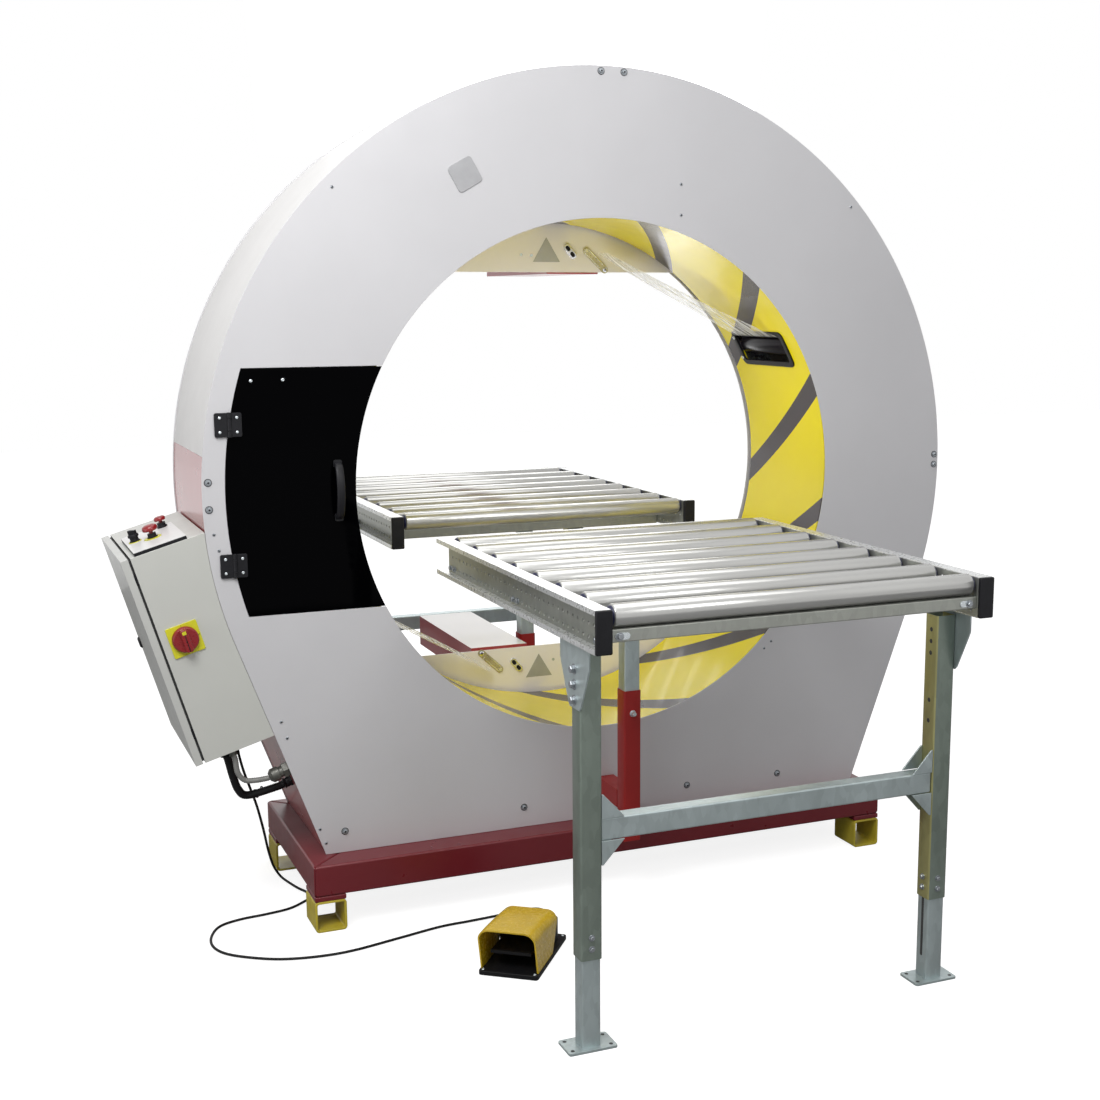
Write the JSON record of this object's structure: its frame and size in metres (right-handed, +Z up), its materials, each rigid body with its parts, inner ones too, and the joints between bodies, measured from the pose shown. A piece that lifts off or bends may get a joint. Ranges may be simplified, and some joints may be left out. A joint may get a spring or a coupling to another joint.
{
  "type": "ring stretch wrapper with roller tables",
  "caption": "Horizontal orbital stretch wrapper: a ring in a round upright housing wraps film around a load carried through it on two roller tables.",
  "frame": {"origin": "middle of the footprint, on the floor", "axes": "+Y is the way the load travels, away from the operator's table; +X is to the operator's right; +Z is up"},
  "size_m": [2.388, 2.5786, 2.24],
  "materials": {
    "panel_steel": "silver-grey sheet, satin",
    "cover_white": "white paint, satin",
    "frame_red": "red paint, semi-gloss",
    "ring_yellow": "yellow gloss lining with grey bands",
    "galvanised": "galvanised",
    "roller_steel": "zinc plated",
    "tray_beige": "beige paint, satin",
    "tinted": "dark tinted sheet, glossy",
    "black_plastic": "black moulded",
    "cabinet_grey": "light grey textured paint",
    "switch_red": "red moulded",
    "pedal_yellow": "yellow moulded",
    "film": "clear stretch film on a reel",
    "rubber": "black, matt",
    "motor_grey": "grey paint, matt"
  },
  "bodies": {
    "machine": {"back_panel": "panel_steel", "base_frame": "frame_red", "bottom_clamp_housing": "frame_red", "bottom_tray": "tray_beige", "cabinet_conduit": "rubber", "cabinet_shell": "cabinet_grey", "door_hinge_lower": "black_plastic", "door_hinge_upper": "black_plastic", "drive_motor": "motor_grey", "front_panel": "panel_steel", "pedal_base": "black_plastic", "pedal_cable": "rubber", "pedal_hood": "pedal_yellow", "rim_cover": "cover_white", "side_cover_left": "frame_red", "side_cover_right": "frame_red", "top_clamp_housing": "frame_red", "top_tray": "tray_beige"},
    "ring": {"ring_drum": "ring_yellow", "reel_carriage_a": "galvanised", "reel_carriage_b": "galvanised"},
    "reel_a": {"film_reel_a": "film"},
    "reel_b": {"film_reel_b": "film"},
    "support_1": {"support_roller_1": "rubber"},
    "support_2": {"support_roller_2": "rubber"},
    "support_3": {"support_roller_3": "rubber"},
    "wheel": {"drive_wheel": "rubber"},
    "top_cutter": {"top_cutter_arm": "galvanised"},
    "bottom_cutter": {"bottom_cutter_arm": "galvanised"},
    "tinted_door": {"tinted_door": "tinted", "door_handle": "black_plastic"},
    "cabinet_door": {"cabinet_door": "cabinet_grey"},
    "cabinet_lock": {"cabinet_lock": "black_plastic"},
    "main_switch": {"main_switch_knob": "switch_red"},
    "selector": {"selector_knob": "black_plastic"},
    "emergency_stop": {"emergency_stop": "switch_red"},
    "stop_button": {"stop_button": "switch_red"},
    "treadle": {"pedal_treadle": "black_plastic"},
    "near_table": {"near_table_frame": "galvanised"},
    "near_feet": {"near_leg_left": "galvanised", "near_leg_right": "galvanised"},
    "near_roller_1": {"near_roller_1": "roller_steel"},
    "near_roller_2": {"near_roller_2": "roller_steel"},
    "near_roller_3": {"near_roller_3": "roller_steel"},
    "near_roller_4": {"near_roller_4": "roller_steel"},
    "near_roller_5": {"near_roller_5": "roller_steel"},
    "near_roller_6": {"near_roller_6": "roller_steel"},
    "near_roller_7": {"near_roller_7": "roller_steel"},
    "near_roller_8": {"near_roller_8": "roller_steel"},
    "far_table": {"far_table_frame": "galvanised"},
    "far_feet": {"far_leg_left": "galvanised", "far_leg_right": "galvanised"},
    "far_roller_1": {"far_roller_1": "roller_steel"},
    "far_roller_2": {"far_roller_2": "roller_steel"},
    "far_roller_3": {"far_roller_3": "roller_steel"},
    "far_roller_4": {"far_roller_4": "roller_steel"},
    "far_roller_5": {"far_roller_5": "roller_steel"},
    "far_roller_6": {"far_roller_6": "roller_steel"},
    "far_roller_7": {"far_roller_7": "roller_steel"},
    "far_roller_8": {"far_roller_8": "roller_steel"}
  },
  "joints": [
    {"name": "ring_spin", "type": "hinge", "parent": "machine", "child": "ring", "pos_m": [0.10199, -0.20925, 1.148], "axis": [0, 1, 0], "continuous": true},
    {"name": "reel_a_spin", "type": "hinge", "parent": "ring", "child": "reel_a", "pos_m": [0.67856, -0.20925, 1.74505], "axis": [0, 1, 0], "continuous": true},
    {"name": "reel_b_spin", "type": "hinge", "parent": "ring", "child": "reel_b", "pos_m": [-0.47458, -0.20925, 0.55095], "axis": [0, 1, 0], "continuous": true},
    {"name": "support_1_spin", "type": "hinge", "parent": "machine", "child": "support_1", "pos_m": [0.76688, -0.20925, 1.81289], "axis": [0, 1, 0], "continuous": true},
    {"name": "support_2_spin", "type": "hinge", "parent": "machine", "child": "support_2", "pos_m": [-0.5629, -0.20925, 1.81289], "axis": [0, 1, 0], "continuous": true},
    {"name": "support_3_spin", "type": "hinge", "parent": "machine", "child": "support_3", "pos_m": [-0.5629, -0.20925, 0.48311], "axis": [0, 1, 0], "continuous": true},
    {"name": "drive_wheel_spin", "type": "hinge", "parent": "machine", "child": "wheel", "pos_m": [0.71168, -0.20925, 0.36763], "axis": [0, 1, 0], "continuous": true},
    {"name": "top_cutter_swing", "type": "hinge", "parent": "machine", "child": "top_cutter", "pos_m": [0.30699, 0.26415, 1.721], "axis": [0, 1, 0], "range_deg": [-25, 60]},
    {"name": "bottom_cutter_swing", "type": "hinge", "parent": "machine", "child": "bottom_cutter", "pos_m": [-0.10301, 0.26415, 0.575], "axis": [0, 1, 0], "range_deg": [-25, 60]},
    {"name": "tinted_door_hinge", "type": "hinge", "parent": "machine", "child": "tinted_door", "pos_m": [-0.91601, -0.21575, 1.1545], "axis": [0, 0, -1], "range_deg": [0, 110]},
    {"name": "cabinet_door_hinge", "type": "hinge", "parent": "machine", "child": "cabinet_door", "pos_m": [-1.17015, -0.20825, 1.00996], "axis": [-0.2823, 0, 0.9593], "range_deg": [0, 110]},
    {"name": "cabinet_lock_turn", "type": "hinge", "parent": "cabinet_door", "child": "cabinet_lock", "pos_m": [-1.10929, 0.19075, 0.71515], "axis": [-0.9593, 0, -0.2823], "range_deg": [0, 90]},
    {"name": "main_switch_turn", "type": "hinge", "parent": "machine", "child": "main_switch", "pos_m": [-1.04717, -0.21225, 0.79806], "axis": [0, -1, 0], "range_deg": [0, 90]},
    {"name": "selector_turn", "type": "hinge", "parent": "machine", "child": "selector", "pos_m": [-1.14197, -0.05925, 1.04223], "axis": [-0.2823, 0, 0.9593], "range_deg": [-45, 45]},
    {"name": "emergency_stop_push", "type": "slide", "parent": "machine", "child": "emergency_stop", "axis": [0.2823, 0, -0.9593], "range_m": [0, 0.006], "stiffness_N_per_m": 600, "springref_m": -0.002},
    {"name": "stop_button_push", "type": "slide", "parent": "machine", "child": "stop_button", "axis": [0.2823, 0, -0.9593], "range_m": [0, 0.004], "stiffness_N_per_m": 400, "springref_m": -0.002},
    {"name": "treadle_press", "type": "hinge", "parent": "machine", "child": "treadle", "pos_m": [-0.3196, -0.64918, 0.05], "axis": [0.7944, -0.6074, 0], "range_deg": [0, 12], "stiffness_Nm_per_rad": 4, "springref_deg": -8.59},
    {"name": "near_table_height", "type": "slide", "parent": "machine", "child": "near_table", "axis": [0, 0, 1], "range_m": [0, 0.15]},
    {"name": "near_feet_slide", "type": "slide", "parent": "near_table", "child": "near_feet", "axis": [0, 0, -1], "range_m": [0, 0.15]},
    {"name": "near_roller_1_spin", "type": "hinge", "parent": "near_table", "child": "near_roller_1", "pos_m": [0.10199, -0.24925, 0.9944], "axis": [1, 0, 0], "continuous": true},
    {"name": "near_roller_2_spin", "type": "hinge", "parent": "near_table", "child": "near_roller_2", "pos_m": [0.10199, -0.39282, 0.9944], "axis": [1, 0, 0], "continuous": true},
    {"name": "near_roller_3_spin", "type": "hinge", "parent": "near_table", "child": "near_roller_3", "pos_m": [0.10199, -0.53639, 0.9944], "axis": [1, 0, 0], "continuous": true},
    {"name": "near_roller_4_spin", "type": "hinge", "parent": "near_table", "child": "near_roller_4", "pos_m": [0.10199, -0.67996, 0.9944], "axis": [1, 0, 0], "continuous": true},
    {"name": "near_roller_5_spin", "type": "hinge", "parent": "near_table", "child": "near_roller_5", "pos_m": [0.10199, -0.82354, 0.9944], "axis": [1, 0, 0], "continuous": true},
    {"name": "near_roller_6_spin", "type": "hinge", "parent": "near_table", "child": "near_roller_6", "pos_m": [0.10199, -0.96711, 0.9944], "axis": [1, 0, 0], "continuous": true},
    {"name": "near_roller_7_spin", "type": "hinge", "parent": "near_table", "child": "near_roller_7", "pos_m": [0.10199, -1.11068, 0.9944], "axis": [1, 0, 0], "continuous": true},
    {"name": "near_roller_8_spin", "type": "hinge", "parent": "near_table", "child": "near_roller_8", "pos_m": [0.10199, -1.25425, 0.9944], "axis": [1, 0, 0], "continuous": true},
    {"name": "far_table_height", "type": "slide", "parent": "machine", "child": "far_table", "axis": [0, 0, 1], "range_m": [0, 0.15]},
    {"name": "far_feet_slide", "type": "slide", "parent": "far_table", "child": "far_feet", "axis": [0, 0, -1], "range_m": [0, 0.15]},
    {"name": "far_roller_1_spin", "type": "hinge", "parent": "far_table", "child": "far_roller_1", "pos_m": [0.10199, 0.24925, 0.9944], "axis": [1, 0, 0], "continuous": true},
    {"name": "far_roller_2_spin", "type": "hinge", "parent": "far_table", "child": "far_roller_2", "pos_m": [0.10199, 0.39282, 0.9944], "axis": [1, 0, 0], "continuous": true},
    {"name": "far_roller_3_spin", "type": "hinge", "parent": "far_table", "child": "far_roller_3", "pos_m": [0.10199, 0.53639, 0.9944], "axis": [1, 0, 0], "continuous": true},
    {"name": "far_roller_4_spin", "type": "hinge", "parent": "far_table", "child": "far_roller_4", "pos_m": [0.10199, 0.67996, 0.9944], "axis": [1, 0, 0], "continuous": true},
    {"name": "far_roller_5_spin", "type": "hinge", "parent": "far_table", "child": "far_roller_5", "pos_m": [0.10199, 0.82354, 0.9944], "axis": [1, 0, 0], "continuous": true},
    {"name": "far_roller_6_spin", "type": "hinge", "parent": "far_table", "child": "far_roller_6", "pos_m": [0.10199, 0.96711, 0.9944], "axis": [1, 0, 0], "continuous": true},
    {"name": "far_roller_7_spin", "type": "hinge", "parent": "far_table", "child": "far_roller_7", "pos_m": [0.10199, 1.11068, 0.9944], "axis": [1, 0, 0], "continuous": true},
    {"name": "far_roller_8_spin", "type": "hinge", "parent": "far_table", "child": "far_roller_8", "pos_m": [0.10199, 1.25425, 0.9944], "axis": [1, 0, 0], "continuous": true}
  ],
  "couplings": [
    {"joint": "support_1_spin", "follows": "ring_spin", "ratio": -22.5},
    {"joint": "support_2_spin", "follows": "ring_spin", "ratio": -22.5},
    {"joint": "support_3_spin", "follows": "ring_spin", "ratio": -22.5},
    {"joint": "drive_wheel_spin", "follows": "ring_spin", "ratio": -10},
    {"joint": "near_feet_slide", "follows": "near_table_height", "ratio": 1},
    {"joint": "far_feet_slide", "follows": "far_table_height", "ratio": 1}
  ]
}
